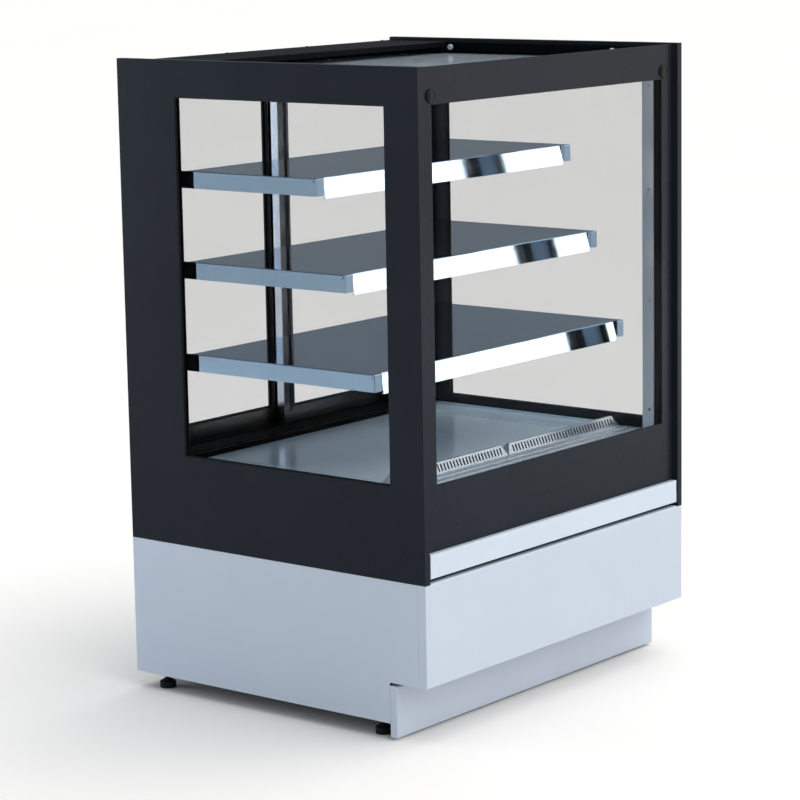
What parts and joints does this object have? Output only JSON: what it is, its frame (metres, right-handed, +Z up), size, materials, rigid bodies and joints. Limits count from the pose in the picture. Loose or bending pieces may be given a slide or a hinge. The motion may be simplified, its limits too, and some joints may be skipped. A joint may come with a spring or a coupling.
{
  "type": "refrigerated bakery display case",
  "caption": "Upright refrigerated bakery display case with a tilting front glass, glazed sides, stepped shelves, sliding rear doors and a machine space below.",
  "frame": {"origin": "on the floor, under the centre of the cabinet's bounding box", "axes": "+Z up, -Y towards the customer (front glass), +X to the right when facing the front"},
  "size_m": [0.9, 0.775, 1.315],
  "materials": {
    "frame_paint": "satin grey powder coat",
    "pale_paint": "satin pale grey powder coat with a fine texture",
    "pale_profile": "smooth satin pale grey paint on an extrusion",
    "galvanised": "galvanised sheet, dull",
    "control_plastic": "black moulded plastic",
    "key_plastic": "grey moulded plastic",
    "rocker_plastic": "black moulded plastic",
    "gland_plastic": "black nylon",
    "coil_aluminium": "bare aluminium fins",
    "dark_paint": "satin black powder coat",
    "compressor_paint": "gloss black paint on steel",
    "well_liner": "smooth foamed liner",
    "deck_stainless": "polished stainless sheet",
    "shelf_stainless": "bright stainless sheet with a fine grain",
    "enamelled_glass": "black enamel behind glass, satin outside",
    "clear_glass": "clear polished glass",
    "polished_aluminium": "bright anodised extrusion",
    "door_aluminium": "satin anodised extrusion",
    "lamp_aluminium": "satin anodised housing with an opal lens",
    "hinge_steel": "zinc plated steel",
    "catch_black": "polished dark metal cap",
    "foot_rubber": "black rubber",
    "fan_plastic": "black glass-filled plastic",
    "tray_plastic": "grey moulded plastic"
  },
  "bodies": {
    "cabinet": {"base_frame": "frame_paint", "kick_plate": "pale_paint", "front_lower_panel": "pale_paint", "left_lower_panel": "pale_paint", "right_lower_panel": "pale_paint", "rear_service_panel": "galvanised", "controller": "control_plastic", "switch_housings": "control_plastic", "cord_gland": "gland_plastic", "condenser": "coil_aluminium", "condenser_shroud": "dark_paint", "compressor": "compressor_paint", "insulated_well": "well_liner", "evaporator": "coil_aluminium", "deck_plate": "deck_stainless", "front_ledge": "deck_stainless", "return_grille_left": "deck_stainless", "return_grille_right": "deck_stainless", "left_side_wall": "enamelled_glass", "right_side_wall": "enamelled_glass", "left_side_pane": "clear_glass", "right_side_pane": "clear_glass", "left_corner_profile": "polished_aluminium", "right_corner_profile": "polished_aluminium", "left_upright": "dark_paint", "right_upright": "dark_paint", "hinge_brackets": "hinge_steel", "top_rails": "dark_paint", "catch_magnets": "control_plastic", "shelf_bottom": "shelf_stainless", "shelf_middle": "shelf_stainless", "shelf_top": "shelf_stainless", "shelf_arms_bottom": "dark_paint", "shelf_arms_middle": "dark_paint", "shelf_arms_top": "dark_paint", "rear_sill": "dark_paint", "door_top_track": "dark_paint", "top_glass": "clear_glass", "top_rear_cover": "dark_paint", "top_lamp": "lamp_aluminium"},
    "front_glass": {"front_glass_border": "enamelled_glass", "front_glass_pane": "clear_glass", "front_glass_profile": "pale_profile", "glass_catch_left": "catch_black", "glass_catch_right": "catch_black"},
    "left_door": {"left_door_frame": "door_aluminium", "left_door_glass": "clear_glass"},
    "right_door": {"right_door_frame": "door_aluminium", "right_door_glass": "clear_glass"},
    "foot_front_left": {"foot_front_left": "foot_rubber"},
    "foot_front_right": {"foot_front_right": "foot_rubber"},
    "foot_rear_left": {"foot_rear_left": "foot_rubber"},
    "foot_rear_right": {"foot_rear_right": "foot_rubber"},
    "condenser_fan": {"condenser_fan": "fan_plastic"},
    "evaporator_fan": {"evaporator_fan": "fan_plastic"},
    "condensate_tray": {"condensate_tray": "tray_plastic"},
    "key_up": {"controller_key_up": "key_plastic"},
    "key_down": {"controller_key_down": "key_plastic"},
    "power_switch": {"power_switch": "rocker_plastic"},
    "light_switch": {"light_switch": "rocker_plastic"}
  },
  "joints": [
    {"name": "front_glass_tilt", "type": "hinge", "parent": "cabinet", "child": "front_glass", "pos_m": [0, -0.3795, 0.337], "axis": [1, 0, 0], "range_deg": [0, 70]},
    {"name": "left_door_slide", "type": "slide", "parent": "cabinet", "child": "left_door", "axis": [1, 0, 0], "range_m": [0, 0.395]},
    {"name": "right_door_slide", "type": "slide", "parent": "cabinet", "child": "right_door", "axis": [-1, 0, 0], "range_m": [0, 0.395]},
    {"name": "condenser_fan_spin", "type": "hinge", "parent": "cabinet", "child": "condenser_fan", "pos_m": [-0.29, 0.3025, 0.172], "axis": [0, 1, 0], "continuous": true},
    {"name": "evaporator_fan_spin", "type": "hinge", "parent": "cabinet", "child": "evaporator_fan", "pos_m": [0, -0.0295, 0.422], "axis": [0, 1, 0], "continuous": true},
    {"name": "condensate_tray_slide", "type": "slide", "parent": "cabinet", "child": "condensate_tray", "axis": [0, 1, 0], "range_m": [0, 0.24]},
    {"name": "power_switch_rock", "type": "hinge", "parent": "cabinet", "child": "power_switch", "pos_m": [0.19, 0.3805, 0.256], "axis": [1, 0, 0], "range_deg": [0, 16]},
    {"name": "light_switch_rock", "type": "hinge", "parent": "cabinet", "child": "light_switch", "pos_m": [0.225, 0.3805, 0.256], "axis": [1, 0, 0], "range_deg": [0, 16]},
    {"name": "key_up_press", "type": "slide", "parent": "cabinet", "child": "key_up", "axis": [0, -1, 0], "range_m": [0, 0.0012], "stiffness_N_per_m": 900},
    {"name": "key_down_press", "type": "slide", "parent": "cabinet", "child": "key_down", "axis": [0, -1, 0], "range_m": [0, 0.0012], "stiffness_N_per_m": 900},
    {"name": "foot_front_left_screw", "type": "slide", "parent": "cabinet", "child": "foot_front_left", "axis": [0, 0, 1], "range_m": [-0.02, 0.004]},
    {"name": "foot_front_right_screw", "type": "slide", "parent": "cabinet", "child": "foot_front_right", "axis": [0, 0, 1], "range_m": [-0.02, 0.004]},
    {"name": "foot_rear_left_screw", "type": "slide", "parent": "cabinet", "child": "foot_rear_left", "axis": [0, 0, 1], "range_m": [-0.02, 0.004]},
    {"name": "foot_rear_right_screw", "type": "slide", "parent": "cabinet", "child": "foot_rear_right", "axis": [0, 0, 1], "range_m": [-0.02, 0.004]}
  ]
}
